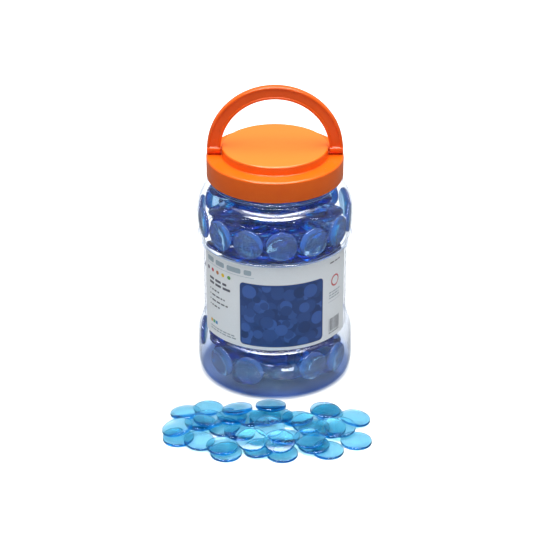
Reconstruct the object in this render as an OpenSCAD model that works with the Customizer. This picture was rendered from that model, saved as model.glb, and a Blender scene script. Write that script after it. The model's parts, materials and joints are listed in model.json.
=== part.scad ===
// Jar of round counters, with a screw lid, a fold-down carry handle and a small spill of
// counters in front of it. Millimetres, +Z up, the table at z = 0, the jar's axis on Z
// and its label facing -Y.

/* [Jar] */
// Outside radius of the base and shoulder bands
band_r = 57; // [52:0.5:64]
// How far the label panel sits inside the bands
panel_inset = 4.1; // [3.8:0.1:6]
// Wall of the blown jar
jar_wall = 1; // [0.8:0.1:1.2]
// Height of the base band, up to the foot of the label panel
base_h = 39; // [36:1:48]
// Height of the label panel
panel_h = 69; // [62:1:84]
// Height of the upright part of the shoulder band
shoulder_band_h = 18; // [17:1:24]
// Height of the rounded shoulder above that band
shoulder_h = 22.5; // [18:0.5:28]
// Outside radius of the neck
neck_r = 45.2; // [40:0.2:47]
// Height of the neck that shows below the lid
neck_show = 6.7; // [6:0.1:10]

/* [Lid] */
// Wall of the moulded lid
lid_wall = 1.8; // [1.4:0.1:2.2]
// Height of the raised centre above the ledge
crown_h = 6.8; // [6:0.1:9]
// Thickness of the sealing liner
liner_t = 1; // [0.6:0.1:1.5]

/* [Screw thread] */
// Rise of the lid in one turn
thread_pitch = 5; // [4:0.5:6]
// Height of a thread above its wall
thread_depth = 1.5; // [1.2:0.1:1.6]
// Turns of thread on the neck and in the lid
thread_turns = 1.25; // [1:0.25:1.5]

/* [Handle] */
// Width of the arch, seen from the front
handle_w = 9.8; // [7:0.2:12]
// Depth of the arch, front to back
handle_d = 5.6; // [4:0.2:6]
// Radius of the hinge barrels at its feet
barrel_r = 3.4; // [3:0.1:4]
// Radius of the hinge pins
pin_r = 1.45; // [1.2:0.05:1.6]

/* [Label] */
// Angle that the label wraps to each side of the front
label_half_angle = 69.5; // [40:0.5:120]
// Thickness of the label
label_t = 0.2; // [0.15:0.05:0.3]

/* [Counters] */
// Radius of a counter
counter_r = 11; // [9:0.5:12.5]
// Thickness of a counter
counter_t = 1.8; // [1.5:0.1:2.2]
// Most counters that are tried for the fill
fill_count = 520; // [100:20:600]

/* [Clearances] */
// Radial gap between each thread and the wall it turns past
thread_gap = 0.5; // [0.4:0.1:0.8]
// Gap between pieces that slide or fold past each other
run_gap = 0.3; // [0.2:0.1:0.5]
// Radial gap of a hinge pin in its hole
pin_gap = 0.05; // [0.02:0.01:0.1]
// Gap left at each face of the liner
seal_gap = 0.1; // [0.05:0.05:0.2]
// Gap left between counters that lie on each other
rest_gap = 0.12; // [0.05:0.01:0.3]

/* [Hidden] */
$fn = 96;
// Places of the spilled counters: across, and out in front of the jar, the undermost first
SPILL = [
    [-68, 51], [-53, 57], [-34, 70], [-36, 38], [5, 71], [57, 55], [37, 67],
    [28, 41], [38, 20], [57, 27], [16, 28], [-7, 25], [7, 52], [-11, 67], [-31, 27],
    [-53, 37], [-48, 13], [46, 42], [23, 39], [2, 27], [27, 63], [-64, 22], [-69, 44],
    [-47, 35], [-37, 65], [-25, 49], [-16, 33], [36, 19], [39, 46], [24, 60],
    [-27, 21], [-3, 16], [-4, 46], [-16, 62], [3, 66]
];
SPILL_NAMES = [for (i = [1:len(SPILL)]) str("counter_", i < 10 ? "0" : "", i)];
FILL_NODES = 6;
FILL_NAMES = [for (i = [1:FILL_NODES]) str("fill_", i)];

// Heights, from the table up
base_corner_w = 5;
base_corner_h = 12;
standing_ring_w = 7;
push_up = 2.5;
push_up_slope_w = 3;
standing_outer_r = band_r - base_corner_w;
standing_inner_r = standing_outer_r - standing_ring_w;
push_up_r = standing_inner_r - push_up_slope_w;
base_top_round_h = 8.5;
panel_r = band_r - panel_inset;
band_lip = 2;
band_lip_flat = 0.6;
panel_z = base_h;
shoulder_z = panel_z + panel_h;
lip_h = 6;
dome_z = shoulder_z + shoulder_band_h;
neck_z = dome_z + shoulder_h;
skirt_z = neck_z + neck_show;
thread_base_h = 2.4;
thread_crest_h = 1;
thread_end_gap = 2;
skirt_below_thread = 0.85;
thread_rise = thread_pitch * thread_turns;
lid_thread_z = skirt_z + skirt_below_thread + thread_base_h / 2;
neck_thread_z = lid_thread_z + thread_pitch / 2;
mouth_z = neck_thread_z + thread_rise + thread_end_gap;
neck_fillet = 1.1;
bead_rise = 2.9;
bead_size = 1.2;
bead_z = neck_z + bead_rise;

// The lid hangs from its liner's seat on the mouth
lid_under_z = mouth_z + liner_t + 2 * seal_gap;
ledge_z = lid_under_z + lid_wall;
crown_z = ledge_z + crown_h;
lid_in_r = neck_r + thread_depth + thread_gap;
lid_r = lid_in_r + lid_wall;
lid_edge_round = 1.4;
crown_edge_round = 1.1;
liner_r = lid_in_r - 2 * run_gap;
thread_steps = 40;
thread_sink = 0.4;
thread_run_out = 4;
thread_tip_share = 0.15;

// Hinge of the handle, in the side wall of the raised centre: the arch folds onto the ledge
ledge_edge = 0.6;
crown_r = lid_r - ledge_edge - handle_w - 2 * run_gap;
hinge_z = ledge_z + run_gap + max(barrel_r, handle_d / 2);
handle_in_r = crown_r + 2 * run_gap;
handle_out_r = handle_in_r + handle_w;
handle_round = 1.2;
channel_depth = 0.6;
channel_rim = 1.6;
pin_past_wall = 0.6;
pin_root = 1;
pin_reach = crown_r - lid_wall - pin_past_wall;
hole_r = pin_r + pin_gap;

// The label fills the panel between the two bands
label_margin = 0.9;

// Points of an elliptical arc about [cx, cz], from angle a to angle b
function arc(cx, cz, rx, rz, a, b, n = 8) =
    [for (i = [0:n]) let(t = a + (b - a) * i / n) [cx + rx * cos(t), cz + rz * sin(t)]];

// Side of the jar from the standing ring to the mouth, set in by w
function jar_side(w) = concat(
    [[push_up_r, push_up + w], [standing_inner_r, w]],
    arc(standing_outer_r, base_corner_h, band_r - standing_outer_r - w, base_corner_h - w, -90, 0),
    arc(panel_r, base_h - base_top_round_h, panel_inset - w, base_top_round_h - w, 0, 90),
    [[panel_r - w, base_h - w], [panel_r - w, shoulder_z + w]],
    arc(band_r - band_lip - band_lip_flat, shoulder_z + lip_h, band_lip - w / 2, lip_h - w,
        -90, 0, 5),
    arc(neck_r, dome_z, band_r - neck_r - w, shoulder_h - w, 0, 85, 12),
    [[neck_r + (w > 0 ? -w : neck_fillet), neck_z - w]],
    w > 0 ? [] : arc(neck_r + neck_fillet, neck_z + neck_fillet, neck_fillet, neck_fillet,
                     -90, -180, 4),
    w > 0 ? [] : arc(neck_r, bead_z, bead_size, bead_size, -90, 90, 6),
    [[neck_r - w, mouth_z]]
);

// One helical thread on a wall of radius root, its crest at radius crest. The lid's and the
// neck's follow one helix, the lid's half a pitch lower.
module thread(root, crest, z_start) {
    rings = round(thread_turns * thread_steps);
    foot = crest > root ? root - thread_sink : root + thread_sink;
    // The thread grows out of its wall over its first and last steps
    function grow(i) = min(1, min(i, rings - i) / thread_run_out);
    function share(i) = thread_tip_share + (1 - thread_tip_share) * grow(i);
    ring_points = [for (i = [0:rings])
        let(a = 360 * i / thread_steps,
            z = z_start + thread_pitch * i / thread_steps,
            tip = foot + (crest - foot) * share(i),
            base = thread_base_h / 2,
            top = thread_crest_h / 2)
        each [[foot * cos(a), foot * sin(a), z - base],
              [tip * cos(a), tip * sin(a), z - top],
              [tip * cos(a), tip * sin(a), z + top],
              [foot * cos(a), foot * sin(a), z + base]]];
    last = 4 * rings;
    flip = crest > root;
    sides = [for (i = [0:rings - 1]) for (k = [0:3])
        let(p = 4 * i + k, q = 4 * i + (k + 1) % 4)
        flip ? [p, q, q + 4, p + 4] : [p, p + 4, q + 4, q]];
    ends = flip ? [[3, 2, 1, 0], [last, last + 1, last + 2, last + 3]]
                : [[0, 1, 2, 3], [last + 3, last + 2, last + 1, last]];
    polyhedron(ring_points, concat(sides, ends));
}

module jar_body() {
    outside = jar_side(0);
    inside = jar_side(jar_wall);
    color([0.75, 0.85, 0.98, 0.3]) {
        rotate_extrude()
            polygon(concat([[0, push_up]], outside,
                           [for (i = [len(inside) - 1:-1:0]) inside[i]],
                           [[0, push_up + jar_wall]]));
        thread(neck_r, neck_r + thread_depth, neck_thread_z);
    }
}

module label() {
    color([0.78, 0.82, 0.87])
        rotate([0, 0, -90 - label_half_angle])
            rotate_extrude(angle = 2 * label_half_angle)
                translate([panel_r, panel_z + label_margin])
                    square([label_t, panel_h - 2 * label_margin]);
}

module lid_shell() {
    outline = concat(
        [[lid_in_r, skirt_z], [lid_r, skirt_z]],
        arc(lid_r - lid_edge_round, ledge_z - lid_edge_round, lid_edge_round, lid_edge_round, 0, 90, 5),
        [[crown_r, ledge_z]],
        arc(crown_r - crown_edge_round, crown_z - crown_edge_round,
            crown_edge_round, crown_edge_round, 0, 90, 5),
        [[0, crown_z], [0, crown_z - lid_wall], [crown_r - lid_wall, crown_z - lid_wall],
         [crown_r - lid_wall, lid_under_z], [lid_in_r, lid_under_z]]
    );
    color([0.95, 0.45, 0.1])
        difference() {
            union() {
                rotate_extrude() polygon(outline);
                thread(lid_in_r, neck_r + thread_gap, lid_thread_z);
            }
            for (side = [-1, 1])
                translate([side * (crown_r - lid_wall / 2), 0, hinge_z])
                    rotate([0, 90, 0])
                        cylinder(r = hole_r, h = 2 * lid_wall, center = true);
        }
}

module liner() {
    color([0.93, 0.93, 0.9])
        translate([0, 0, mouth_z + seal_gap]) cylinder(r = liner_r, h = liner_t);
}

// Section of the arch: round-cornered, with a shallow channel in its front and back faces
module handle_section() {
    half = handle_d / 2;
    corner = handle_round;
    difference() {
        polygon(concat(
            arc(handle_out_r - corner, half - corner, corner, corner, 0, 90, 4),
            arc(handle_in_r + corner, half - corner, corner, corner, 90, 180, 4),
            arc(handle_in_r + corner, corner - half, corner, corner, 180, 270, 4),
            arc(handle_out_r - corner, corner - half, corner, corner, 270, 360, 4)));
        for (face = [-1, 1])
            translate([handle_in_r + channel_rim, face * half - channel_depth])
                square([handle_w - 2 * channel_rim, 2 * channel_depth]);
    }
}

module handle() {
    color([0.9, 0.3, 0.08])
        translate([0, 0, hinge_z]) {
            rotate([90, 0, 0]) rotate_extrude(angle = 180) handle_section();
            for (side = [0, 180])
                rotate([0, 0, side])
                    rotate([0, 90, 0]) {
                        translate([0, 0, handle_in_r]) cylinder(r = barrel_r, h = handle_w);
                        translate([0, 0, pin_reach])
                            cylinder(r = pin_r, h = handle_in_r + pin_root - pin_reach);
                    }
        }
}

// ---- Counters. Each is [x, y, z, slope along x, slope along y] of its middle and its face.

function steepness(c) = norm([c[3], c[4]]);

module counter(c) {
    translate([c[0], c[1], c[2]])
        rotate([0, atan(steepness(c)), atan2(c[4], c[3])])
            cylinder(r = counter_r, h = counter_t, center = true, $fn = 48);
}

// Height of a counter's middle over the table when its low edge touches the table
function table_height(slope) =
    let(tilt = atan(norm(slope))) counter_r * sin(tilt) + counter_t / 2 * cos(tilt);

// Height at which a counter at p with that slope first touches counter c. The difference
// of their facing planes is linear, so it is greatest at an end of the shared lens.
function touch_height(p, slope, c) =
    let(centre = [c[0], c[1]], away = centre - p, apart = norm(away))
    apart >= 2 * counter_r ? 0 :
    let(lean = [c[3], c[4]],
        gradient = slope - lean,
        steep = norm(gradient),
        uphill = steep > 0 ? gradient / steep : [1, 0],
        side = apart > 0 ? [-away[1], away[0]] / apart : [0, 1],
        half_lens = sqrt(counter_r * counter_r - apart * apart / 4),
        middle = (p + centre) / 2,
        ends = [for (q = [p + counter_r * uphill, centre + counter_r * uphill,
                          middle + half_lens * side, middle - half_lens * side])
                    if (norm(q - p) <= counter_r + 0.001 && norm(q - centre) <= counter_r + 0.001)
                        slope * (q - p) - lean * (q - centre)],
        thick = counter_t / 2 * (sqrt(1 + slope * slope) + sqrt(1 + lean * lean)))
    c[2] + thick + rest_gap + max(ends);

// A counter let down at p with that slope, onto the floor and the counters under it
function let_down(p, slope, floor_z, under) =
    [p[0], p[1],
     max(concat([floor_z + table_height(slope)], [for (c = under) touch_height(p, slope, c)])),
     slope[0], slope[1]];

function lowest(tries) =
    let(least = min([for (c = tries) c[2]])) [for (c = tries) if (c[2] == least) c][0];

// ---- The spill. Each counter settles in the tilt that brings it lowest.
SETTLE_TILTS = [0, 2, 4, 6, 8, 10, 12];
SETTLE_TURN = 30;

function settle(p, under) = lowest([
    for (tilt = SETTLE_TILTS) for (turn = [0:SETTLE_TURN:tilt > 0 ? 359 : 0])
        let_down(p, tan(tilt) * [cos(turn), sin(turn)], 0, under)]);

function spill_place(i) = [SPILL[i][0], -band_r - SPILL[i][1]];

function spill_up_to(count, done = []) =
    len(done) == count ? done :
    spill_up_to(count, concat(done, [settle(spill_place(len(done)), done)]));

module spilled_counter(number) {
    color([0.2, 0.65, 0.9, 0.7]) counter(spill_up_to(number)[number - 1]);
}

// ---- Counters that stand on edge against the inside of the two bands
WALL_PHASE = 5;
WALL_SEED = 21;
WALL_JITTER = 2;
WALL_SHARE = [0.7, 0.85];
// How far their low edges dip into the rounded foot of each band
WALL_DIP = 2;
// Room left above the lower ones, under the step to the panel
WALL_HEADROOM = 5;
wall_lift = [min(base_corner_h, base_h - 2 * counter_r - WALL_HEADROOM) + counter_r - WALL_DIP,
             shoulder_z + lip_h + counter_r - WALL_DIP];
// How many fit round the wall in each tier
wall_slots = [for (lift = wall_lift)
    floor(180 / atan((counter_r + run_gap) / (stand_r(lift + WALL_JITTER) - counter_t)))];

// Radius of the outer face of one with its middle at height z. Its sides come up to the band,
// and its top stays inside the rounded shoulder.
function stand_r(z) =
    min(sqrt(pow(band_r - jar_wall - run_gap, 2) - counter_r * counter_r),
        inner_r(z + counter_r)) - run_gap;

// Inside radius of the rounded shoulder at height z
function inner_r(z) =
    let(rise = max(0, z - dome_z) / (shoulder_h - jar_wall))
    neck_r + (band_r - neck_r - jar_wall) * sqrt(max(0, 1 - rise * rise));

module wall_counters() {
    chances = rands(0, 1, 2 * (wall_slots[0] + wall_slots[1]), WALL_SEED);
    color([0.35, 0.55, 0.85, 0.7])
        for (tier = [0, 1]) for (i = [0:wall_slots[tier] - 1]) {
            at = 2 * (tier * wall_slots[0] + i);
            z = wall_lift[tier] + WALL_JITTER * chances[at + 1];
            if (chances[at] < WALL_SHARE[tier])
                rotate([0, 0, -90 + WALL_PHASE + 360 * i / wall_slots[tier]])
                    translate([stand_r(z) - counter_t / 2, 0, z])
                        rotate([0, 90, 0])
                            cylinder(r = counter_r, h = counter_t, center = true, $fn = 48);
        }
}

// ---- The fill: counters dropped at random into the jar, each where it lies lowest
FILL_SEED = 1;
FILL_TRIES = 12;
FILL_LOOK_BACK = 150;
FILL_MAX_TILT = 40;
FILL_TILT_BIAS = 1.6;
fill_r = min(panel_r - jar_wall, stand_r(wall_lift[1] + WALL_JITTER) - counter_t) - run_gap;
fill_floor_z = push_up + jar_wall + rest_gap;
fill_top_z = neck_z - jar_wall;
FILL_CHANCES = rands(0, 1, fill_count * FILL_TRIES * 4, FILL_SEED);

// Radius that is free for the fill at height z
function room_at(z) =
    z >= fill_top_z - rest_gap ? 0 : min(fill_r, inner_r(z) - run_gap);

function fits_in(c) =
    let(top = c[2] + table_height([c[3], c[4]])) norm([c[0], c[1]]) + counter_r <= room_at(top);

function fill_try(i, k, under) =
    let(at = 4 * (i * FILL_TRIES + k),
        r = (fill_r - counter_r) * sqrt(FILL_CHANCES[at]),
        turn = 360 * FILL_CHANCES[at + 1],
        slope = tan(FILL_MAX_TILT * pow(FILL_CHANCES[at + 2], FILL_TILT_BIAS)),
        lean = 360 * FILL_CHANCES[at + 3])
    let_down(r * [cos(turn), sin(turn)], slope * [cos(lean), sin(lean)], fill_floor_z, under);

function fill_heap(i = 0, done = []) =
    i == fill_count ? done :
    let(n = len(done),
        under = [for (j = [max(0, n - FILL_LOOK_BACK):1:n - 1]) done[j]],
        tries = [for (k = [0:FILL_TRIES - 1]) let(c = fill_try(i, k, under)) if (fits_in(c)) c])
    fill_heap(i + 1, len(tries) == 0 ? done : concat(done, [lowest(tries)]));

module fill(number) {
    heap = fill_heap();
    share = len(heap) / FILL_NODES;
    first = round(share * (number - 1));
    color([0.1, 0.35, 0.75, 0.8])
        for (i = [first:1:round(share * number) - 1]) counter(heap[i]);
}

jar_body();
label();
lid_shell();
liner();
handle();
wall_counters();
for (i = [1:FILL_NODES]) fill(i);
for (i = [1:len(SPILL)]) spilled_counter(i);
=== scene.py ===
import json
import math
import random

import bmesh
import bpy
from mathutils import Matrix, Vector


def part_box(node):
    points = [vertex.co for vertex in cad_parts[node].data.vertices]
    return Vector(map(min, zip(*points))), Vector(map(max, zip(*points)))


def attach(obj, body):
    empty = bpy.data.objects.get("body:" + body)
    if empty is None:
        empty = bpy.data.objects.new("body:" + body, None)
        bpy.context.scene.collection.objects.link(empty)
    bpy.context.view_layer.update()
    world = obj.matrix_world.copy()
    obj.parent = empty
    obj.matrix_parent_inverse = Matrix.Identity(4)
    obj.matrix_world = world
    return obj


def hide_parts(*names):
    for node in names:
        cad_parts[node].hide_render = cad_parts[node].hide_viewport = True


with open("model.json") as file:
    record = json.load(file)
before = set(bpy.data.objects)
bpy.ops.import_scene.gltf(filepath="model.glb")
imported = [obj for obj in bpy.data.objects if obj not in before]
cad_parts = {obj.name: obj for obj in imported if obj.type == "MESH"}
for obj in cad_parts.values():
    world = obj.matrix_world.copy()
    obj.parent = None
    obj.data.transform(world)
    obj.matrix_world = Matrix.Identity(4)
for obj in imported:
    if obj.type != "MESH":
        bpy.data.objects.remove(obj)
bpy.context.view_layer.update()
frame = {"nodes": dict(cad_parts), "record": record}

# ---- Camera ------------------------------------------------------------------------------
# A long lens, a little above the lid, looks down on the jar and the spill in front of it.
CAMERA_BACK = 1.279
CAMERA_UP = 0.756
CAMERA_DOWN_DEGREES = 28.1
LENS_MM = 129.2

camera = bpy.data.objects.new("camera", bpy.data.cameras.new("camera"))
bpy.context.scene.collection.objects.link(camera)
camera.location = (0, -CAMERA_BACK, CAMERA_UP)
camera.rotation_euler = (math.radians(90 - CAMERA_DOWN_DEGREES), 0, 0)
camera.data.lens = LENS_MM
camera.data.clip_end = 20
bpy.context.scene.camera = camera

# ---- Studio ------------------------------------------------------------------------------
# A white room lit from above: a bright ceiling, a ring of lamps that shows in shiny edges, one
# soft box in front of and above the jar, and a dark card that keeps clear plastic deep.
DOME_LIGHT = 0.30
DOME_THROUGH_CLEAR = 1.0
CEILING_LIGHT = 13.0
CEILING_SHINE = 2.5
RING_SHINE = 14.0
SOFT_BOX_LIGHT = 3.0
SOFT_BOX_SHINE = 32.0
CARD_SHADE = 0.15
CLEAR_BOUNCES = 160


def arithmetic(tree, operation, a, b=None, c=None):
    """A Math node on sockets or numbers; gives its result socket."""
    node = tree.nodes.new("ShaderNodeMath")
    node.operation = operation
    for place, value in enumerate((a, b, c)):
        if isinstance(value, (int, float)):
            node.inputs[place].default_value = value
        elif value is not None:
            tree.links.new(value, node.inputs[place])
    return node.outputs[0]


def ramp(tree, value, start, end):
    """A smooth step of value from 0 at start to 1 at end."""
    node = tree.nodes.new("ShaderNodeMapRange")
    node.interpolation_type = "SMOOTHSTEP"
    tree.links.new(value, node.inputs["Value"])
    node.inputs["From Min"].default_value = start
    node.inputs["From Max"].default_value = end
    return node.outputs["Result"]


def band(tree, value, low, high, soft):
    """1 where value lies between low and high, with soft edges."""
    rise = ramp(tree, value, low - soft, low + soft)
    fall = ramp(tree, value, high + soft, high - soft)
    return arithmetic(tree, "MULTIPLY", rise, fall)


def mirrored(tree, path):
    """1 for a ray that has just bounced off something shiny."""
    passed = arithmetic(tree, "SUBTRACT", 1.0, path.outputs["Is Transmission Ray"])
    return arithmetic(tree, "MULTIPLY", path.outputs["Is Glossy Ray"], passed)


def make_studio():
    world = bpy.data.worlds.new("studio")
    bpy.context.scene.world = world
    world.use_nodes = True
    tree = world.node_tree
    places = tree.nodes.new("ShaderNodeTexCoord")
    parts = tree.nodes.new("ShaderNodeSeparateXYZ")
    tree.links.new(places.outputs["Generated"], parts.inputs[0])
    toward_front = arithmetic(tree, "MULTIPLY", parts.outputs["Y"], -1.0)
    turn = arithmetic(tree, "ARCTAN2", parts.outputs["X"], toward_front)
    rise = arithmetic(tree, "ARCSINE", parts.outputs["Z"])
    box = arithmetic(tree, "MULTIPLY", band(tree, turn, -0.75, 0.75, 0.3),
                     band(tree, rise, 0.70, 0.88, 0.03))
    card = arithmetic(tree, "MULTIPLY", band(tree, turn, -0.85, 0.85, 0.12),
                      band(tree, rise, -0.2, 0.62, 0.08))
    path = tree.nodes.new("ShaderNodeLightPath")
    shiny = mirrored(tree, path)
    lamps = arithmetic(tree, "MULTIPLY", ramp(tree, rise, 0.9, 1.5), CEILING_LIGHT)
    ring = arithmetic(tree, "MULTIPLY", band(tree, rise, 1.12, 1.34, 0.05), RING_SHINE)
    shine = arithmetic(tree, "MULTIPLY_ADD", ramp(tree, rise, 0.88, 0.98), CEILING_SHINE, ring)
    change = arithmetic(tree, "SUBTRACT", shine, lamps)
    ceiling = arithmetic(tree, "MULTIPLY_ADD", shiny, change, lamps)
    dome = arithmetic(tree, "MULTIPLY_ADD", path.outputs["Is Transmission Ray"],
                      DOME_THROUGH_CLEAR - DOME_LIGHT, DOME_LIGHT)
    uncarded = arithmetic(tree, "MULTIPLY_ADD", card, CARD_SHADE - 1, 1.0)
    walls = arithmetic(tree, "MULTIPLY", dome, uncarded)
    box_light = arithmetic(tree, "MULTIPLY_ADD", shiny, SOFT_BOX_SHINE, SOFT_BOX_LIGHT)
    light = arithmetic(tree, "MULTIPLY_ADD", box, box_light,
                       arithmetic(tree, "ADD", walls, ceiling))
    tree.links.new(light, tree.nodes["Background"].inputs["Strength"])
    tree.nodes["Background"].inputs["Color"].default_value = (1, 1, 1, 1)


make_studio()
scene = bpy.context.scene
scene.view_settings.view_transform = "Standard"
scene.cycles.max_bounces = 32
scene.cycles.transmission_bounces = 32
scene.cycles.glossy_bounces = 8
scene.cycles.diffuse_bounces = 4
scene.cycles.transparent_max_bounces = CLEAR_BOUNCES

# ---- Table -------------------------------------------------------------------------------
# A plain white table top, matt, with a very faint cloudiness. It is not part of the object.
# Its colour is painted darker by the kind of ray that meets it: painted shade in bounce light,
# a painted dark reflection in shiny things, and a painted tinted shade seen through clear plastic.
TABLE_HALF = 6.0
TABLE_DROP = 0.0003
TABLE_WHITE = 0.86
# Painted shade and painted reflection: how much darker the table is in bounce light, through clear
# plastic and in mirrors.
TABLE_BOUNCE = 0.25
TABLE_THROUGH_CLEAR = (0.80, 0.66, 0.76)
TABLE_IN_MIRROR = (0.10, 0.10, 0.09)


def make_table():
    sheet = bpy.data.meshes.new("table")
    h = TABLE_HALF
    corners = [(x * h, y * h, -TABLE_DROP) for x, y in ((-1, -1), (1, -1), (1, 1), (-1, 1))]
    sheet.from_pydata(corners, [], [(0, 1, 2, 3)])
    table = bpy.data.objects.new("table", sheet)
    scene.collection.objects.link(table)
    finish = bpy.data.materials.new("table_white")
    finish.use_nodes = True
    tree = finish.node_tree
    shader = tree.nodes["Principled BSDF"]
    shader.inputs["Roughness"].default_value = 0.75
    path = tree.nodes.new("ShaderNodeLightPath")
    cloud = tree.nodes.new("ShaderNodeTexNoise")
    cloud.inputs["Scale"].default_value = 3.0
    white = arithmetic(tree, "MULTIPLY_ADD", cloud.outputs["Fac"], 0.03, TABLE_WHITE)
    # Painted shade: the table is darker in bounce light; below, it is also painted dark in
    # reflections and tinted through clear plastic.
    shade = arithmetic(tree, "MULTIPLY_ADD", path.outputs["Is Diffuse Ray"], TABLE_BOUNCE - 1, 1.0)
    grey = arithmetic(tree, "MULTIPLY", white, shade)
    tone = tree.nodes.new("ShaderNodeCombineColor")
    for channel in range(3):
        value = grey
        for kind, left in ((mirrored(tree, path), TABLE_IN_MIRROR[channel]),
                           (path.outputs["Is Transmission Ray"], TABLE_THROUGH_CLEAR[channel])):
            kept = arithmetic(tree, "MULTIPLY_ADD", kind, left - 1, 1.0)
            value = arithmetic(tree, "MULTIPLY", value, kept)
        tree.links.new(value, tone.inputs[channel])
    tree.links.new(tone.outputs[0], shader.inputs["Base Color"])
    sheet.materials.append(finish)


make_table()

# ---- Jar body ----------------------------------------------------------------------------
# One blown shell of clear plastic: two wide bands with a sunk panel between them, a rounded
# shoulder, a bead, and a neck with a screw thread. It is turned from one outline.
JAR_WALL = 0.001
jar_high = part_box("jar_body")[1]
band_r = jar_high.x
panel_inset = 0.0041
panel_r = band_r - panel_inset
neck_r = 0.0452
panel_low_z = 0.039
panel_high_z = 0.108
band_top_z = 0.126
shoulder_z = 0.1485
mouth_z = jar_high.z
LIP_TAPER = 0.0011
LIP_BEAD_R = 0.001
PUSH_UP = 0.0025
HEEL_W = 0.005
HEEL_H = 0.012
BASE_TOP_ROUND = 0.0085
STEP_ROUND_R = 0.00064
NECK_ROOT_R = 0.0011
NECK_BEAD_RISE = 0.0029
NECK_BEAD_R = 0.0012
THREAD_PITCH = 0.005
THREAD_TURNS = 1.25
THREAD_DEPTH = 0.0015
THREAD_END_GAP = 0.002
ARC_STEPS = 14
TURN_SIDES = 180
CLEAR_TINT = (0.955, 0.97, 0.99)
HEEL_TINT = (0.68, 0.77, 0.96)
HEEL_TOP_Z = 0.010
HAZE = 0.012
# The next two values paint light: a paler band over the base, and bright highlight lines at the lip
# and the neck bead.
BASE_PALE_PAINT = 0.10
BEAD_HIGHLIGHT_PAINT = 0.34
GRAZING_MIRROR = 0.36
# Colour of the haze and of the painted highlights.
HAZE_AND_HIGHLIGHT_COLOUR = (0.58, 0.72, 1.0)


def arc(cx, cz, rx, rz, start, end, steps=ARC_STEPS):
    """Points of an elliptical arc, its angles in degrees."""
    turns = [math.radians(start + (end - start) * i / steps) for i in range(steps + 1)]
    return [(cx + rx * math.cos(t), cz + rz * math.sin(t)) for t in turns]


def jar_side(w):
    """The jar's side from the standing ring to the mouth, set in by w."""
    stand_r = band_r - HEEL_W
    lip_r = band_r - LIP_TAPER
    outside = w == 0
    side = [(stand_r - 0.010, PUSH_UP + w), (stand_r - 0.007, w)]
    side += arc(stand_r, HEEL_H, HEEL_W - w, HEEL_H - w, -90, 0)
    side += arc(panel_r, panel_low_z - BASE_TOP_ROUND, panel_inset - w, BASE_TOP_ROUND - w,
                0, 81 if outside else 90)
    if outside:
        side += arc(panel_r + STEP_ROUND_R, panel_low_z + 0.0006, STEP_ROUND_R, 0.0007, -90, -180, 4)
        side += [(panel_r, panel_high_z)]
        side += arc(lip_r - LIP_BEAD_R, panel_high_z + LIP_BEAD_R, LIP_BEAD_R, LIP_BEAD_R, -90, 60, 8)
    else:
        side += [(panel_r - w, panel_low_z - w), (panel_r - w, panel_high_z + w)]
    for i in range(9):
        t = i / 8
        side += [(lip_r - w + LIP_TAPER * t * t * (3 - 2 * t), panel_high_z + 0.0033 + 0.0135 * t)]
    side += arc(neck_r, band_top_z, band_r - neck_r - w, shoulder_z - band_top_z - w, 4, 84, 24)
    if outside:
        side += arc(neck_r + NECK_ROOT_R, shoulder_z + NECK_ROOT_R, NECK_ROOT_R, NECK_ROOT_R,
                    -90, -180, 5)
        side += arc(neck_r, shoulder_z + NECK_BEAD_RISE, NECK_BEAD_R, NECK_BEAD_R, -90, 90, 10)
    else:
        side += [(neck_r - w, shoulder_z)]
    return side


def jar_outline():
    lip = 0.0003
    side = jar_side(0) + arc(neck_r - lip, mouth_z - lip, lip, lip, 0, 90, 3)
    inside = jar_side(JAR_WALL)
    side += arc(neck_r - JAR_WALL + lip, mouth_z - lip, lip, lip, 90, 180, 3)
    return [(0, PUSH_UP)] + side + inside[::-1] + [(0, PUSH_UP + JAR_WALL)]


def add_socket(tree, name, kind, way="INPUT"):
    tree.interface.new_socket(name, in_out=way, socket_type=kind)


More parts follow.
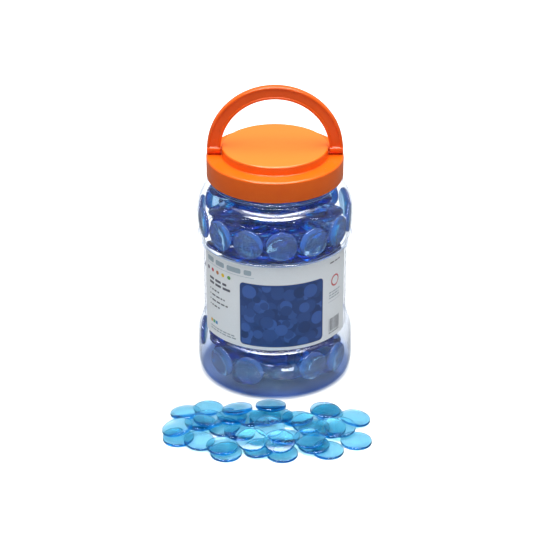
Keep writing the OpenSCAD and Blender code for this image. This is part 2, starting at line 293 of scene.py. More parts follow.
def lathe_tree():
    """Turns an outline, drawn as points in the XZ plane, about Z."""
    tree = bpy.data.node_groups.new("lathe", "GeometryNodeTree")
    add_socket(tree, "Outline", "NodeSocketGeometry")
    add_socket(tree, "Sides", "NodeSocketInt")
    add_socket(tree, "Sweep", "NodeSocketFloat")
    add_socket(tree, "Material", "NodeSocketMaterial")
    add_socket(tree, "Turned", "NodeSocketGeometry", "OUTPUT")
    new, link = tree.nodes.new, tree.links.new
    given = new("NodeGroupInput")
    count = new("GeometryNodeAttributeDomainSize")
    link(given.outputs["Outline"], count.inputs["Geometry"])
    grid = new("GeometryNodeMeshGrid")
    grid.inputs["Size X"].default_value = 1
    grid.inputs["Size Y"].default_value = 1
    columns = arithmetic(tree, "ADD", given.outputs["Sides"], 1.0)
    link(columns, grid.inputs["Vertices X"])
    link(count.outputs["Point Count"], grid.inputs["Vertices Y"])
    here = new("ShaderNodeSeparateXYZ")
    link(new("GeometryNodeInputPosition").outputs[0], here.inputs[0])
    last_row = arithmetic(tree, "SUBTRACT", count.outputs["Point Count"], 1.0)
    along = arithmetic(tree, "ADD", here.outputs["Y"], 0.5)
    row = arithmetic(tree, "ROUND", arithmetic(tree, "MULTIPLY", along, last_row))
    turn = arithmetic(tree, "MULTIPLY", arithmetic(tree, "ADD", here.outputs["X"], 0.5),
                      given.outputs["Sweep"])
    point = new("GeometryNodeSampleIndex")
    point.data_type = "FLOAT_VECTOR"
    link(given.outputs["Outline"], point.inputs["Geometry"])
    link(new("GeometryNodeInputPosition").outputs[0], point.inputs["Value"])
    link(row, point.inputs["Index"])
    turned = new("ShaderNodeVectorRotate")
    turned.rotation_type = "Z_AXIS"
    link(point.outputs[0], turned.inputs["Vector"])
    link(turn, turned.inputs["Angle"])
    place = new("GeometryNodeSetPosition")
    link(grid.outputs["Mesh"], place.inputs["Geometry"])
    link(turned.outputs[0], place.inputs["Position"])
    merge = new("GeometryNodeMergeByDistance")
    merge.inputs["Distance"].default_value = 2e-6
    link(place.outputs[0], merge.inputs["Geometry"])
    finish_tree(tree, merge.outputs[0], given)
    return tree


def finish_tree(tree, geometry, given):
    """Every tree ends with real geometry in its own material."""
    realize = tree.nodes.new("GeometryNodeRealizeInstances")
    coat = tree.nodes.new("GeometryNodeSetMaterial")
    out = tree.nodes.new("NodeGroupOutput")
    tree.links.new(geometry, realize.inputs[0])
    tree.links.new(realize.outputs[0], coat.inputs["Geometry"])
    tree.links.new(given.outputs["Material"], coat.inputs["Material"])
    tree.links.new(coat.outputs[0], out.inputs[0])


def grow(name, tree, start, **inputs):
    """Runs a tree on a start mesh and gives an object that holds the plain result."""
    seed = bpy.data.objects.new(name, start)
    scene.collection.objects.link(seed)
    modifier = seed.modifiers.new("grow", "NODES")
    modifier.node_group = tree
    for item in tree.interface.items_tree:
        if item.in_out == "INPUT" and item.name in inputs:
            modifier[item.identifier] = inputs[item.name]
    ready = seed.evaluated_get(bpy.context.evaluated_depsgraph_get())
    result = bpy.data.meshes.new_from_object(ready)
    seed.modifiers.remove(modifier)
    seed.data = result
    result.name = name
    return seed


def tidy_mesh(mesh, sharp_degrees=40):
    """Outward faces, smooth except at real corners."""
    work = bmesh.new()
    work.from_mesh(mesh)
    bmesh.ops.remove_doubles(work, verts=work.verts, dist=2e-6)
    bmesh.ops.recalc_face_normals(work, faces=work.faces)
    work.to_mesh(mesh)
    work.free()
    mesh.shade_smooth()
    mesh.set_sharp_from_angle(angle=math.radians(sharp_degrees))


def turned_piece(name, outline, material, sides=TURN_SIDES, sweep=2 * math.pi, sharp_degrees=40):
    line = bpy.data.meshes.new(name + "_outline")
    line.from_pydata([(r, 0, z) for r, z in outline],
                     [(i, i + 1) for i in range(len(outline) - 1)], [])
    piece = grow(name, LATHE, line, Sides=sides, Sweep=sweep, Material=material)
    tidy_mesh(piece.data, sharp_degrees)
    return piece


def join_into(piece, others):
    """Adds the meshes of others to piece."""
    work = bmesh.new()
    work.from_mesh(piece.data)
    for other in others:
        work.from_mesh(other.data)
        bpy.data.objects.remove(other)
    work.to_mesh(piece.data)
    work.free()


def thread(name, root, crest, start_z, material):
    """One right-hand thread on a wall of radius root, its crest at radius crest."""
    steps = 72
    rings = round(THREAD_TURNS * steps)
    foot = root + (0.0004 if crest < root else -0.0004)
    verts, faces = [], []
    for i in range(rings + 1):
        a = 2 * math.pi * i / steps
        z = start_z + THREAD_PITCH * i / steps
        grown = 0.15 + 0.85 * min(1, min(i, rings - i) / 7)
        tip = foot + (crest - foot) * grown
        for r, dz in ((foot, -0.0012), (tip, -0.0005), (tip, 0.0005), (foot, 0.0012)):
            verts.append((r * math.cos(a), r * math.sin(a), z + dz))
    for i in range(rings):
        for k in range(4):
            p, q = 4 * i + k, 4 * i + (k + 1) % 4
            faces.append((p, q, q + 4, p + 4))
    faces += [(0, 1, 2, 3), tuple(4 * rings + k for k in range(4))]
    mesh = bpy.data.meshes.new(name)
    mesh.from_pydata(verts, [], faces)
    mesh.materials.append(material)
    piece = bpy.data.objects.new(name, mesh)
    scene.collection.objects.link(piece)
    tidy_mesh(mesh, 30)
    return piece


def new_material(name):
    material = bpy.data.materials.new(name)
    material.use_nodes = True
    material.node_tree.nodes.clear()
    return material, material.node_tree


def noise(tree, scale, detail=2.0, rough=0.5, stretch=(1, 1, 1)):
    """A noise over the piece's own coordinates; scale counts features in a metre."""
    place = tree.nodes.new("ShaderNodeTexCoord")
    mapping = tree.nodes.new("ShaderNodeMapping")
    mapping.inputs["Scale"].default_value = stretch
    texture = tree.nodes.new("ShaderNodeTexNoise")
    texture.inputs["Scale"].default_value = scale
    texture.inputs["Detail"].default_value = detail
    texture.inputs["Roughness"].default_value = rough
    tree.links.new(place.outputs["Object"], mapping.inputs["Vector"])
    tree.links.new(mapping.outputs[0], texture.inputs["Vector"])
    return texture.outputs["Fac"]


def bump(tree, height, depth, strength=1.0, below=None):
    node = tree.nodes.new("ShaderNodeBump")
    node.inputs["Strength"].default_value = strength
    node.inputs["Distance"].default_value = depth
    tree.links.new(height, node.inputs["Height"])
    if below is not None:
        tree.links.new(below, node.inputs["Normal"])
    return node.outputs[0]


def clear_skin(tree, tint, gloss_rough, base_reflection, normal, haze_and_highlight):
    """Clear plastic too thin to bend light: it lets light through, and mirrors more at a
    grazing angle. A haze of handling marks veils it, and where the haze is raised in bands it
    is a painted highlight."""
    through = tree.nodes.new("ShaderNodeBsdfTransparent")
    tree.links.new(tint, through.inputs["Color"])
    gloss = tree.nodes.new("ShaderNodeBsdfGlossy")
    gloss.inputs["Roughness"].default_value = gloss_rough
    slant = tree.nodes.new("ShaderNodeLayerWeight")
    slant.inputs["Blend"].default_value = 0.5
    for node in (gloss, slant):
        tree.links.new(normal, node.inputs["Normal"])
    grazing = arithmetic(tree, "POWER", slant.outputs["Facing"], 5.0)
    mirror = arithmetic(tree, "MULTIPLY_ADD", grazing, GRAZING_MIRROR, base_reflection)
    mix = tree.nodes.new("ShaderNodeMixShader")
    tree.links.new(mirror, mix.inputs["Fac"])
    tree.links.new(through.outputs[0], mix.inputs[1])
    tree.links.new(gloss.outputs[0], mix.inputs[2])
    # Diffuse haze; where it is raised in bands it is a painted highlight.
    haze_and_highlight_diffuse = tree.nodes.new("ShaderNodeBsdfDiffuse")
    haze_and_highlight_diffuse.inputs["Color"].default_value = (*HAZE_AND_HIGHLIGHT_COLOUR, 1)
    veil = tree.nodes.new("ShaderNodeMixShader")
    tree.links.new(haze_and_highlight, veil.inputs["Fac"])
    tree.links.new(mix.outputs[0], veil.inputs[1])
    tree.links.new(haze_and_highlight_diffuse.outputs[0], veil.inputs[2])
    return veil.outputs[0]


def blend(tree, amount, first, second):
    """A colour that goes from first to second as amount goes from 0 to 1."""
    mix = tree.nodes.new("ShaderNodeMix")
    mix.data_type = "RGBA"
    mix.inputs["A"].default_value = (*first, 1)
    mix.inputs["B"].default_value = (*second, 1)
    tree.links.new(amount, mix.inputs["Factor"])
    return mix.outputs["Result"]


def jar_plastic():
    """Clear plastic, a little blue, and more so in the thick heel."""
    material, tree = new_material("jar_pet")
    flow = noise(tree, 38, 1.5, 0.4, (1, 1, 0.35))
    ripple = noise(tree, 190, 1.0, 0.5)
    wave = bump(tree, flow, 0.0012, 0.35)
    place = tree.nodes.new("ShaderNodeTexCoord")
    height = tree.nodes.new("ShaderNodeSeparateXYZ")
    tree.links.new(place.outputs["Object"], height.inputs[0])
    tint = blend(tree, ramp(tree, height.outputs["Z"], HEEL_TOP_Z, 0.0), CLEAR_TINT, HEEL_TINT)
    # Painted highlight lines at the lip and the neck bead, and a painted paler band over the base,
    # all laid on as diffuse haze.
    lip = band(tree, height.outputs["Z"], panel_high_z, panel_high_z + 0.0016, 0.0004)
    bead = band(tree, height.outputs["Z"], shoulder_z + 0.0027, shoulder_z + 0.0034, 0.0003)
    highlight_lines = arithmetic(tree, "MAXIMUM", lip, bead)
    base = band(tree, height.outputs["Z"], 0.005, 0.028, 0.004)
    haze_and_highlight = arithmetic(tree, "MULTIPLY_ADD", highlight_lines, BEAD_HIGHLIGHT_PAINT, HAZE)
    haze_and_highlight = arithmetic(tree, "MULTIPLY_ADD", base, BASE_PALE_PAINT, haze_and_highlight)
    surface = clear_skin(tree, tint, 0.03, 0.05, bump(tree, ripple, 0.00008, 0.25, wave), haze_and_highlight)
    out = tree.nodes.new("ShaderNodeOutputMaterial")
    tree.links.new(surface, out.inputs["Surface"])
    return material


LATHE = lathe_tree()
jar_finish = jar_plastic()
jar = turned_piece("jar_shell", jar_outline(), jar_finish)
neck_thread_z = mouth_z - THREAD_END_GAP - THREAD_PITCH * THREAD_TURNS
join_into(jar, [thread("neck_thread", neck_r, neck_r + THREAD_DEPTH, neck_thread_z, jar_finish)])
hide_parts("jar_body")
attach(jar, "jar")

# ---- Lid ---------------------------------------------------------------------------------
# A moulded screw cap in glossy orange plastic: a plain skirt, a ledge that the handle folds
# onto, and a raised centre whose side wall holds the handle's pins.
lid_low, lid_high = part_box("lid_shell")
LID_WALL = 0.0018
CROWN_H = 0.0068
lid_r = lid_high.x
skirt_z = lid_low.z
crown_z = lid_high.z
ledge_z = crown_z - CROWN_H
crown_r = 0.038
lid_in_r = lid_r - LID_WALL


def lid_outline():
    edge, crown_edge, root = 0.0015, 0.0013, 0.0008
    under_z = ledge_z - LID_WALL
    rim = 0.0006
    top = [(0, crown_z)]
    top += arc(crown_r - crown_edge, crown_z - crown_edge, crown_edge, crown_edge, 90, 0, 8)
    top += arc(crown_r + root, ledge_z + root, root, root, 180, 270, 6)
    top += arc(lid_r - edge, ledge_z - edge, edge, edge, 90, 0, 8)
    top += arc(lid_r - rim, skirt_z + rim, rim, rim, 0, -90, 4)
    top += arc(lid_in_r + rim, skirt_z + rim, rim, rim, -90, -180, 4)
    top += [(lid_in_r, under_z), (crown_r - LID_WALL, under_z)]
    top += [(crown_r - LID_WALL, crown_z - LID_WALL), (0, crown_z - LID_WALL)]
    return top


def moulded_orange(name, colour, shade, pale=None, painted_top_from=None):
    """Moulded plastic: cloudy colour, the mould's fine grain, a soft shine. Given a pale colour,
    the top above a set height is painted in it: a painted highlight that makes the top face
    lighter than the sides."""
    material, tree = new_material(name)
    shader = tree.nodes.new("ShaderNodeBsdfPrincipled")
    base = blend(tree, ramp(tree, noise(tree, 45, 3, 0.6), 0.3, 0.7), colour, shade)
    if pale:
        place = tree.nodes.new("ShaderNodeTexCoord")
        height = tree.nodes.new("ShaderNodeSeparateXYZ")
        tree.links.new(place.outputs["Object"], height.inputs[0])
        # Painted highlight: 1 on the top face, where the paler colour is painted.
        painted_top_mask = ramp(tree, height.outputs["Z"], painted_top_from, painted_top_from + 0.0003)
        mix = tree.nodes.new("ShaderNodeMix")
        mix.data_type = "RGBA"
        tree.links.new(painted_top_mask, mix.inputs["Factor"])
        tree.links.new(base, mix.inputs["A"])
        mix.inputs["B"].default_value = (*pale, 1)
        base = mix.outputs["Result"]
    tree.links.new(base, shader.inputs["Base Color"])
    rough = arithmetic(tree, "MULTIPLY_ADD", noise(tree, 260, 3, 0.6), 0.12, 0.18)
    tree.links.new(rough, shader.inputs["Roughness"])
    shader.inputs["Specular IOR Level"].default_value = 0.36
    sink = bump(tree, noise(tree, 28, 1, 0.4), 0.0006, 0.3)
    grain = bump(tree, noise(tree, 2400, 2, 0.6), 0.00002, 0.15, sink)
    tree.links.new(grain, shader.inputs["Normal"])
    out = tree.nodes.new("ShaderNodeOutputMaterial")
    tree.links.new(shader.outputs[0], out.inputs["Surface"])
    return material


# Painted highlight: the lid's top face above the crown is painted in the paler colour.
lid_finish = moulded_orange("lid_plastic", (0.82, 0.128, 0.005), (0.79, 0.115, 0.005),
                            pale=(0.84, 0.185, 0.022), painted_top_from=crown_z - 0.0005)
lid = turned_piece("lid_cap", lid_outline(), lid_finish)
lid_thread_z = neck_thread_z - THREAD_PITCH / 2
join_into(lid, [thread("lid_thread", lid_in_r, neck_r + 0.0005, lid_thread_z, lid_finish)])
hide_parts("lid_shell")
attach(lid, "lid")

# ---- Liner -------------------------------------------------------------------------------
# A punched disc of white foam that seals the mouth. It sits loose under the lid.
liner_low, liner_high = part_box("liner")


def foam():
    material, tree = new_material("liner_foam")
    shader = tree.nodes.new("ShaderNodeBsdfPrincipled")
    cells = tree.nodes.new("ShaderNodeTexVoronoi")
    cells.inputs["Scale"].default_value = 1400
    place = tree.nodes.new("ShaderNodeTexCoord")
    tree.links.new(place.outputs["Object"], cells.inputs["Vector"])
    tone = arithmetic(tree, "MULTIPLY_ADD", noise(tree, 120, 2), 0.12, 0.78)
    colour = tree.nodes.new("ShaderNodeCombineColor")
    for channel in range(3):
        tree.links.new(tone, colour.inputs[channel])
    tree.links.new(colour.outputs[0], shader.inputs["Base Color"])
    shader.inputs["Roughness"].default_value = 0.85
    tree.links.new(bump(tree, cells.outputs["Distance"], 0.0001, 0.6), shader.inputs["Normal"])
    out = tree.nodes.new("ShaderNodeOutputMaterial")
    tree.links.new(shader.outputs[0], out.inputs["Surface"])
    return material


def liner_outline():
    r, edge = liner_high.x, 0.0002
    return ([(0, liner_high.z)] + arc(r - edge, liner_high.z - edge, edge, edge, 90, 0, 3)
            + arc(r - edge, liner_low.z + edge, edge, edge, 0, -90, 3) + [(0, liner_low.z)])


liner = turned_piece("liner_disc", liner_outline(), foam(), sides=96)
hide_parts("liner")
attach(liner, "liner")

# ---- Handle ------------------------------------------------------------------------------
# A moulded half-ring with a shallow channel in each face. Round barrels at its feet stand on
# the ledge, and pins on the barrels turn in holes in the side of the raised centre.
handle_low, handle_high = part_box("handle")
arch_out = handle_high.x
ARCH_W = 0.0098
arch_in = arch_out - ARCH_W
ARCH_HALF = 0.0028
BARREL_R = 0.0034
hinge_z = handle_low.z + BARREL_R
PIN_R = 0.00145
PIN_PAST_WALL = 0.0006


def arch_section():
    """Closed section of the arch as (radius, depth) points."""
    corner, rim, deep, soft = 0.0012, 0.0017, 0.0006, 0.0005
    face = ARCH_HALF - deep
    quarter = arc(arch_out - corner, ARCH_HALF - corner, corner, corner, 0, 90, 6)
    quarter += arc(arch_out - rim, ARCH_HALF - soft / 2, soft / 2, soft / 2, 90, 180, 3)
    quarter += [(arch_out - rim - soft, face)]
    middle = (arch_out + arch_in) / 2
    other = [(2 * middle - r, d) for r, d in quarter[::-1]]
    front = quarter + other
    return front + [(r, -d) for r, d in front[::-1]]


def close_ends(mesh):
    work = bmesh.new()
    work.from_mesh(mesh)
    bmesh.ops.holes_fill(work, edges=work.edges)
    bmesh.ops.recalc_face_normals(work, faces=work.faces)
    work.to_mesh(mesh)
    work.free()


def barrel_outline():
    """Barrel and pin together: radius against distance from the jar's axis."""
    edge = 0.0005
    pin_tip = crown_r - LID_WALL - PIN_PAST_WALL
    return ([(0, pin_tip), (PIN_R - 0.0003, pin_tip), (PIN_R, pin_tip + 0.0003), (PIN_R, arch_in)]
            + arc(BARREL_R - edge, arch_in + edge, edge, edge, -90, 0, 4)
            + arc(BARREL_R - edge, arch_out - edge, edge, edge, 0, 90, 4) + [(0, arch_out)])


def make_handle(material):
    section = arch_section()
    arch = turned_piece("carry_handle", section + section[:1], material, sides=120, sweep=math.pi)
    close_ends(arch.data)
    arch.data.transform(Matrix.Rotation(math.radians(90), 4, "X"))
    feet = []
    for side in (-1, 1):
        foot = turned_piece("handle_foot", barrel_outline(), material, sides=48)
        foot.data.transform(Matrix.Rotation(math.radians(90 * side), 4, "Y"))
        feet.append(foot)
    join_into(arch, feet)
    arch.data.transform(Matrix.Translation((0, 0, hinge_z)))
    arch.data.shade_smooth()
    arch.data.set_sharp_from_angle(angle=math.radians(35))
    return arch


handle = make_handle(moulded_orange("handle_plastic", (0.82, 0.108, 0.006), (0.78, 0.095, 0.006)))
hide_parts("handle")
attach(handle, "handle")

# ---- Label -------------------------------------------------------------------------------
# Coated paper, glued round the front of the sunk panel. Its print is plain generic shapes: a
# picture of blue discs, bars in place of words, five coloured spots and a row of stripes.
label_low, label_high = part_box("label")
LABEL_HALF_DEGREES = 69.5
LABEL_THICK = 0.0002
PAPER = (0.86, 0.91, 0.96)
INK_LIFT = 0.00004
PICTURE_STEP = 0.000002
PICTURE_DISCS = 120
COLUMN = 0.0006
label_half = panel_r * math.radians(LABEL_HALF_DEGREES)
rng = random.Random(11)


def wrap(across, up, lift):
    """A point of the panel, across and up in metres along its surface."""
    r = panel_r + LABEL_THICK + lift
    a = across / panel_r
    return (r * math.sin(a), -r * math.cos(a), up)


class Print:
    """Flat shapes laid on the wrapped paper, each a stack of rows of small quads."""

    def __init__(self):
        self.verts, self.faces, self.inks = [], [], []

    def shape(self, rows, ink, lift):
        """rows are (up, left, right), from the lowest to the highest."""
        columns = max(1, math.ceil(max(b - a for _, a, b in rows) / COLUMN))
        first = len(self.verts)
        for up, left, right in rows:
            for k in range(columns + 1):
                self.verts.append(wrap(left + (right - left) * k / columns, up, lift))
        for j in range(len(rows) - 1):
            for k in range(columns):
                p = first + j * (columns + 1) + k
                self.faces.append((p, p + 1, p + columns + 2, p + columns + 1))
                self.inks.append(ink)

    def bar(self, left, right, low, high, ink, lift=INK_LIFT):
        self.shape([(low, left, right), (high, left, right)], ink, lift)

    def rounded(self, left, right, low, high, corner, ink, lift=INK_LIFT):
        rows = []
        for i in range(7):
            t = math.radians(90 * i / 6)
            inset = corner * (1 - math.sin(t))
            rows.append((low + corner * (1 - math.cos(t)), left + inset, right - inset))
        rows += [(low + high - up, a, b) for up, a, b in rows[::-1]]
        self.shape(rows, ink, lift)

    def disc(self, x, y, r, ink, lift, window=None):
        """A round spot, cut off at the edges of window (left, right, low, high)."""
        left, right, low, high = window or (-1, 1, -1, 1)
        bottom, top = max(low, y - r), min(high, y + r)
        rows = []
        for i in range(17):
            up = y - r * math.cos(math.pi * i / 16)
            up = min(max(up, bottom), top)
            half = math.sqrt(max(0, r * r - (up - y) ** 2))
            a, b = max(left, x - half), min(right, x + half)
            if b > a and (not rows or up > rows[-1][0]):
                rows.append((up, a, b))
        if len(rows) > 1:
            self.shape(rows, ink, lift)

    def words(self, left, right, low, high, ink, word=0.004):
        """A line of print, as bars of uneven length."""
        x = left
        while x < right - word * 0.4:
            end = min(right, x + word * rng.uniform(0.5, 1.4))
            self.rounded(x, end, low, high, (high - low) * 0.3, ink)
            x = end + word * 0.28


def draw_print():
    ink = Print()
    grey, dark, pale = (0.40, 0.50, 0.58), (0.13, 0.14, 0.18), (0.36, 0.42, 0.48)
    # Heading, its rule and five spots
    ink.words(-0.0595, -0.0170, 0.0990, 0.1030, grey, word=0.009)
    ink.bar(-0.0600, -0.0150, 0.0972, 0.0975, grey)
    spots = [(0.20, 0.16, 0.24), (0.62, 0.06, 0.10), (0.55, 0.22, 0.08),
             (0.85, 0.62, 0.05), (0.14, 0.42, 0.10)]
    for i, colour in enumerate(spots):
        ink.disc(-0.0585 + 0.0058 * i, 0.0930, 0.0015, colour, INK_LIFT)
    # Two bold lines, then four short ones, each with its mark
    ink.words(-0.0570, -0.0360, 0.0850, 0.0869, dark, word=0.006)
    ink.words(-0.0570, -0.0310, 0.0815, 0.0834, dark, word=0.006)
    for i in range(4):
        up = 0.0765 - 0.0042 * i
        ink.disc(-0.0560, up + 0.0006, 0.0006, dark, INK_LIFT)
        ink.words(-0.0540, -0.0430 + 0.0035 * (i % 3), up, up + 0.0012, dark, word=0.0035)
    # Small squares and small print at the foot
    squares = [(0.75, 0.45, 0.08), (0.12, 0.45, 0.25), (0.10, 0.30, 0.60)]
    for i, colour in enumerate(squares):
        ink.bar(-0.0560 + 0.0030 * i, -0.0535 + 0.0030 * i, 0.0500, 0.0525, colour)
    ink.words(-0.0560, -0.0310, 0.0462, 0.0472, pale, word=0.0028)
    ink.words(-0.0560, -0.0290, 0.0442, 0.0452, pale, word=0.0028)
    # Right-hand side: a short line, a ring in a frame, and stripes
    ink.words(0.0440, 0.0560, 0.1010, 0.1020, dark, word=0.004)
    ink.bar(0.0425, 0.0575, 0.0700, 0.0702, pale)
    ink.disc(0.0500, 0.0860, 0.0046, (0.62, 0.10, 0.12), INK_LIFT)
    ink.disc(0.0500, 0.0860, 0.0035, PAPER, 1.5 * INK_LIFT)
    for i in range(3):
        ink.words(0.0435, 0.0565, 0.0770 - 0.0022 * i, 0.0779 - 0.0022 * i, pale, word=0.0024)
    x = 0.0435
    while x < 0.0560:
        wide = rng.choice((0.0002, 0.0003, 0.0005))
        ink.bar(x, x + wide, 0.0455, 0.0560, dark)
        x += wide + rng.choice((0.0002, 0.0004, 0.0006))
    ink.words(0.0435, 0.0560, 0.0438, 0.0446, dark, word=0.0016)
    # Picture of a heap of clear blue discs
    window = (-0.0260, 0.0370, 0.0425, 0.0928)
    ink.rounded(*window, 0.0030, (0.030, 0.075, 0.26))
    rim = 0.0012
    inner = (window[0] + rim, window[1] - rim, window[2] + rim, window[3] - rim)
    for i in range(PICTURE_DISCS):
        x, y = rng.uniform(inner[0], inner[1]), rng.uniform(inner[2], inner[3])
        light = rng.random() ** 1.5
        colour = (0.024 + 0.034 * light, 0.060 + 0.080 * light, 0.20 + 0.27 * light)
        ink.disc(x, y, rng.uniform(0.0026, 0.0056), colour, 1.5 * INK_LIFT + PICTURE_STEP * i, inner)
    return ink


def paper(name, slot_colour=None):
    """Coated paper; with slot_colour None the tone comes from the print's own ink."""
    material, tree = new_material(name)
    shader = tree.nodes.new("ShaderNodeBsdfPrincipled")
    if slot_colour is None:
        source = tree.nodes.new("ShaderNodeVertexColor")
        source.layer_name = "ink"
        base = source.outputs["Color"]
    else:
        source = tree.nodes.new("ShaderNodeRGB")
        source.outputs[0].default_value = (*slot_colour, 1)
        base = source.outputs[0]
    fibre = noise(tree, 900, 3, 0.7)
    mottle = arithmetic(tree, "MULTIPLY_ADD", fibre, 0.10, 0.95)
    tone = tree.nodes.new("ShaderNodeMix")
    tone.data_type = "RGBA"
    tone.blend_type = "MULTIPLY"
    tone.inputs["Factor"].default_value = 1
    tree.links.new(base, tone.inputs["A"])
    grey = tree.nodes.new("ShaderNodeCombineColor")
    for channel in range(3):
        tree.links.new(mottle, grey.inputs[channel])
    tree.links.new(grey.outputs[0], tone.inputs["B"])
    tree.links.new(tone.outputs["Result"], shader.inputs["Base Color"])
    tree.links.new(arithmetic(tree, "MULTIPLY_ADD", fibre, 0.12, 0.30), shader.inputs["Roughness"])
    tree.links.new(bump(tree, noise(tree, 70, 2), 0.0003, 0.25), shader.inputs["Normal"])
    out = tree.nodes.new("ShaderNodeOutputMaterial")
    tree.links.new(shader.outputs[0], out.inputs["Surface"])
    return material


def make_label():
    """The paper: a thin closed sheet that follows the panel."""
    across, rise = 96, 8
    verts, faces = [], []
    for layer in (0, 1):
        for j in range(rise + 1):
            up = label_low.z + (label_high.z - label_low.z) * j / rise
            for i in range(across + 1):
                s = -label_half + 2 * label_half * i / across
                verts.append(wrap(s, up, -LABEL_THICK * 0.9 * (1 - layer)))
    row = across + 1
    top = row * (rise + 1)
    for j in range(rise):
        for i in range(across):
            p = j * row + i
            faces.append((p, p + row, p + row + 1, p + 1))
            faces.append((top + p, top + p + 1, top + p + row + 1, top + p + row))
    ring = list(range(row))
    ring += [j * row + across for j in range(1, rise + 1)]
    ring += [rise * row + i for i in range(across - 1, -1, -1)]
    ring += [j * row for j in range(rise - 1, 0, -1)]
    for a, b in zip(ring, ring[1:] + ring[:1]):
        faces.append((a, b, b + top, a + top))
    mesh = bpy.data.meshes.new("label_paper")
    mesh.from_pydata(verts, [], faces)
    mesh.materials.append(paper("label_paper", PAPER))
    sheet = bpy.data.objects.new("label_paper", mesh)
    scene.collection.objects.link(sheet)
    tidy_mesh(mesh, 40)
    return sheet


def make_print():
    drawing = draw_print()
    mesh = bpy.data.meshes.new("label_print")
    mesh.from_pydata(drawing.verts, [], drawing.faces)
    colours = mesh.color_attributes.new("ink", "FLOAT_COLOR", "CORNER")
    for face, ink in zip(mesh.polygons, drawing.inks):
        for corner in face.loop_indices:
            colours.data[corner].color = (*ink, 1)
    mesh.materials.append(paper("label_ink"))
    piece = bpy.data.objects.new("label_print", mesh)
    scene.collection.objects.link(piece)
    mesh.shade_smooth()
    return piece


label = make_label()
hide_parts("label")
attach(label, "jar")
label_print = make_print()
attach(label_print, "jar")

# ---- Counters ----------------------------------------------------------------------------
# Round discs moulded in clear blue plastic, with softly broken edges. Each lies where its CAD
# disc lies: its middle and its face are read back from that disc's mesh.
COUNTER_EDGE = 0.00035
COUNTER_SIDES = 72
# Painted sheen: its pale colour, and the distance from the axis beyond which it is laid on the
# counters by the wall.
PAINTED_SHEEN_COLOUR = (0.50, 0.66, 1.0)
SHEEN_FROM_R = 0.047
FILL_SIDES = 28
PLASTIC_IOR = 1.49
COLOUR_DENSITY = 400
counter_r = (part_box("counter_01")[1].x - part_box("counter_01")[0].x) / 2
counter_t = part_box("counter_01")[1].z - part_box("counter_01")[0].z


def discs_of(node):
    """The middle and the face direction of each disc in a CAD node."""
    work = bmesh.new()
    work.from_mesh(frame["nodes"][node].data)
    bmesh.ops.remove_doubles(work, verts=work.verts, dist=2e-6)
    seen, found = set(), []
    for start in work.verts:
        if start in seen:
            continue
        seen.add(start)
        island, edge_of = [start], [start]
        while edge_of:
            vert = edge_of.pop()
            for edge in vert.link_edges:
                other = edge.other_vert(vert)
                if other not in seen:
                    seen.add(other)
                    island.append(other)
                    edge_of.append(other)
        cap = max((f for v in island for f in v.link_faces), key=lambda f: f.calc_area())
        facing = Vector((0, 0, 0))
        for face in {f for v in island for f in v.link_faces}:
            along = face.normal.dot(cap.normal)
            if abs(along) > 0.99:
                facing += face.normal * face.calc_area() * (1 if along > 0 else -1)
        middle = sum((v.co for v in island), Vector()) / len(island)
        found.append((middle, facing.normalized()))
    work.free()
    return found


def scatter_tree():
    """Sets a disc on every point, its face turned to the point's own direction."""
    tree = bpy.data.node_groups.new("set_counters", "GeometryNodeTree")
    add_socket(tree, "Places", "NodeSocketGeometry")
    add_socket(tree, "Counter", "NodeSocketObject")
    add_socket(tree, "Material", "NodeSocketMaterial")
    add_socket(tree, "Counters", "NodeSocketGeometry", "OUTPUT")
    new, link = tree.nodes.new, tree.links.new
    given = new("NodeGroupInput")
    disc = new("GeometryNodeObjectInfo")
    link(given.outputs["Counter"], disc.inputs["Object"])
    facing = new("GeometryNodeInputNamedAttribute")
    facing.data_type = "FLOAT_VECTOR"
    facing.inputs["Name"].default_value = "facing"
    turn = new("FunctionNodeAlignRotationToVector")
    turn.axis = "Z"
    link(facing.outputs[0], turn.inputs["Vector"])
    put = new("GeometryNodeInstanceOnPoints")
    link(given.outputs["Places"], put.inputs["Points"])
    link(disc.outputs["Geometry"], put.inputs["Instance"])
    link(turn.outputs[0], put.inputs["Rotation"])
    finish_tree(tree, put.outputs[0], given)
    return tree


def counter_outline(round_steps):
    half, edge = counter_t / 2, COUNTER_EDGE
    return ([(0, half)] + arc(counter_r - edge, half - edge, edge, edge, 90, 0, round_steps)
            + arc(counter_r - edge, edge - half, edge, edge, 0, -90, round_steps) + [(0, -half)])


def set_counters(name, nodes, pattern, material, sharp_degrees):
    """One mesh of counters in place of those CAD nodes."""
    places = [place for node in nodes for place in discs_of(node)]
    points = bpy.data.meshes.new(name + "_places")
    points.from_pydata([middle for middle, _ in places], [], [])
    facing = points.attributes.new("facing", "FLOAT_VECTOR", "POINT")
    for i, (_, direction) in enumerate(places):
        facing.data[i].vector = direction
    piece = grow(name, SCATTER, points, Counter=pattern, Material=material)
    piece.data.shade_smooth()
    piece.data.set_sharp_from_angle(angle=math.radians(sharp_degrees))
    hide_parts(*nodes)
    return piece


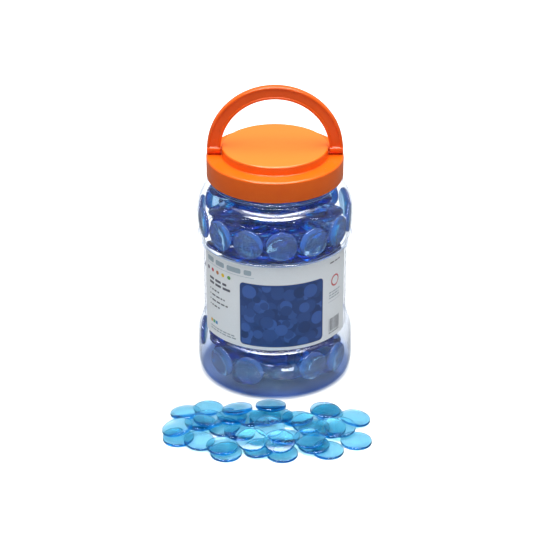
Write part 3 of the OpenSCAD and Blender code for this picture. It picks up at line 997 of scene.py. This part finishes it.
def counter_plastic(name, tint, painted_sheen):
    """Solid clear blue: light bends at its faces and is coloured by the depth it crosses. On
    counters near the jar's wall a share of the surface is pale diffuse colour: a painted sheen
    that stands in for the light they mirror."""
    material, tree = new_material(name)
    shader = tree.nodes.new("ShaderNodeBsdfPrincipled")
    shader.inputs["Base Color"].default_value = (1, 1, 1, 1)
    shader.inputs["Transmission Weight"].default_value = 1
    shader.inputs["IOR"].default_value = PLASTIC_IOR
    scuff = ramp(tree, noise(tree, 420, 4, 0.65), 0.5, 0.8)
    tree.links.new(arithmetic(tree, "MULTIPLY_ADD", scuff, 0.05, 0.01), shader.inputs["Roughness"])
    sink = bump(tree, noise(tree, 110, 1), 0.00012, 0.3)
    tree.links.new(sink, shader.inputs["Normal"])
    depth = tree.nodes.new("ShaderNodeVolumeAbsorption")
    depth.inputs["Color"].default_value = (*tint, 1)
    depth.inputs["Density"].default_value = COLOUR_DENSITY
    sheen_diffuse = tree.nodes.new("ShaderNodeBsdfDiffuse")
    sheen_diffuse.inputs["Color"].default_value = (*PAINTED_SHEEN_COLOUR, 1)
    place = tree.nodes.new("ShaderNodeTexCoord")
    flat = tree.nodes.new("ShaderNodeVectorMath")
    flat.operation = "MULTIPLY"
    flat.inputs[1].default_value = (1, 1, 0)
    tree.links.new(place.outputs["Object"], flat.inputs[0])
    reach = tree.nodes.new("ShaderNodeVectorMath")
    reach.operation = "LENGTH"
    tree.links.new(flat.outputs[0], reach.inputs[0])
    # Painted sheen on the counters by the wall.
    by_wall = ramp(tree, reach.outputs["Value"], SHEEN_FROM_R, SHEEN_FROM_R + 0.005)
    mix = tree.nodes.new("ShaderNodeMixShader")
    tree.links.new(arithmetic(tree, "MULTIPLY", by_wall, painted_sheen), mix.inputs["Fac"])
    tree.links.new(shader.outputs[0], mix.inputs[1])
    tree.links.new(sheen_diffuse.outputs[0], mix.inputs[2])
    out = tree.nodes.new("ShaderNodeOutputMaterial")
    tree.links.new(mix.outputs[0], out.inputs["Surface"])
    tree.links.new(depth.outputs[0], out.inputs["Volume"])
    return material


SCATTER = scatter_tree()
counter_finish = counter_plastic("counter_plastic", (0.08, 0.85, 0.97), 0.0)
# The counters in the jar are the same plastic as the spilled ones, but their tint absorbs more:
# painted shade that deepens the contents. They also carry the painted sheen.
fill_finish = counter_plastic("fill_plastic", (0.0, 0.80, 0.965), 0.11)
fine_disc = turned_piece("fine_disc", counter_outline(4), counter_finish, COUNTER_SIDES)
plain_disc = turned_piece("plain_disc", counter_outline(1), fill_finish, FILL_SIDES, sharp_degrees=60)
bodies = frame["record"]["behaviour"]["bodies"]
inside = [node for node in bodies["jar"] if node.startswith(("fill_", "wall_"))]
fill = set_counters("counters_in_jar", inside, plain_disc, fill_finish, 60)
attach(fill, "jar")
for body, nodes in bodies.items():
    if body == "spill" or body.startswith("loose_"):
        loose = set_counters("counters_" + body, nodes, fine_disc, counter_finish, 50)
        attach(loose, body)
for pattern in (fine_disc, plain_disc):
    bpy.data.objects.remove(pattern)
